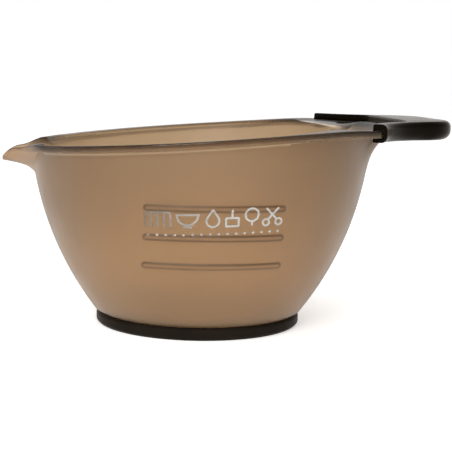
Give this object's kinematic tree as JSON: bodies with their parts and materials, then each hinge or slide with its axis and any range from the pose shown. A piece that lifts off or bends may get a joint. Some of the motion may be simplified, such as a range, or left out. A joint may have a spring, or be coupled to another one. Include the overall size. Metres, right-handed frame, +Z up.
{
  "type": "hair color bowl",
  "caption": "Round salon tint bowl with a pouring spout, raised level marks, a flat handle edged in a rubber grip, and a non-slip rubber ring under its foot.",
  "frame": {"origin": "centre of the foot's rubber ring, on the surface that the bowl stands on", "axes": "+X from the spout towards the handle, +Y towards the side without the level marks, +Z up along the bowl's axis"},
  "size_m": [0.1692, 0.1354, 0.081],
  "materials": {
    "smoke_plastic": "translucent smoke-brown polypropylene with a fine frosted surface",
    "ring_rubber": "matte black-brown thermoplastic rubber",
    "grip_rubber": "satin black-brown thermoplastic rubber",
    "silver_print": "matte silver pad print"
  },
  "bodies": {
    "root": {"bowl_shell": "smoke_plastic", "base_ring": "ring_rubber", "handle_grip": "grip_rubber"}
  },
  "joints": []
}
